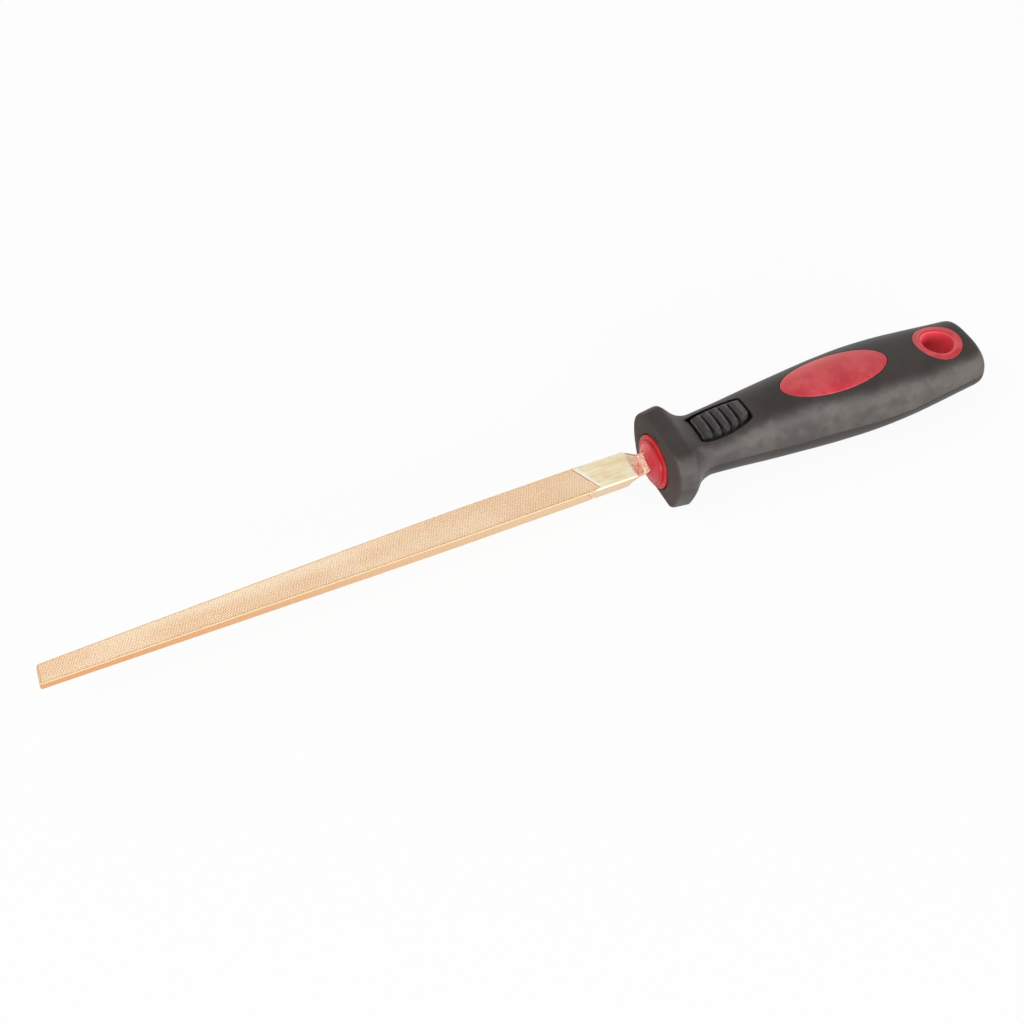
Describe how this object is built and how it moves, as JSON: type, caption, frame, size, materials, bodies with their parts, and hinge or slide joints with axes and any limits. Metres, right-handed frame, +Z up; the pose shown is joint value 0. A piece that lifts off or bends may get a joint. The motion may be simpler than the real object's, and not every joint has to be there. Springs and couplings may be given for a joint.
{
  "type": "triangular file",
  "caption": "Triangular hand file: tapered copper-alloy blade held in a black overmoulded grip with a polygonal guard, ribbed thumb pad, red collar, oval badge and hanging eyelet.",
  "frame": {"origin": "On the bench under the middle of the whole tool: z = 0 is the flat foot of the guard, x = 0 is midway between the tip and the handle's end, y = 0 is the plane of symmetry.", "axes": "+X runs from the tip of the blade to the end of the handle. +Z is up, through the badge side of the grip and out of the blade's flat top face. +Y completes the right-handed frame."},
  "size_m": [0.3374, 0.034, 0.0258],
  "materials": {
    "copper_alloy": "satin, with cut teeth",
    "black_grip": "matt, fine moulded grain",
    "black_pad": "satin",
    "red_plastic": "satin",
    "core_plastic": "as moulded"
  },
  "bodies": {
    "root": {"file_blade": "copper_alloy", "front_collar": "red_plastic", "grip_shell": "black_grip", "thumb_pad": "black_pad", "label_badge": "red_plastic", "hanging_eyelet": "red_plastic", "handle_core": "core_plastic"}
  },
  "joints": []
}
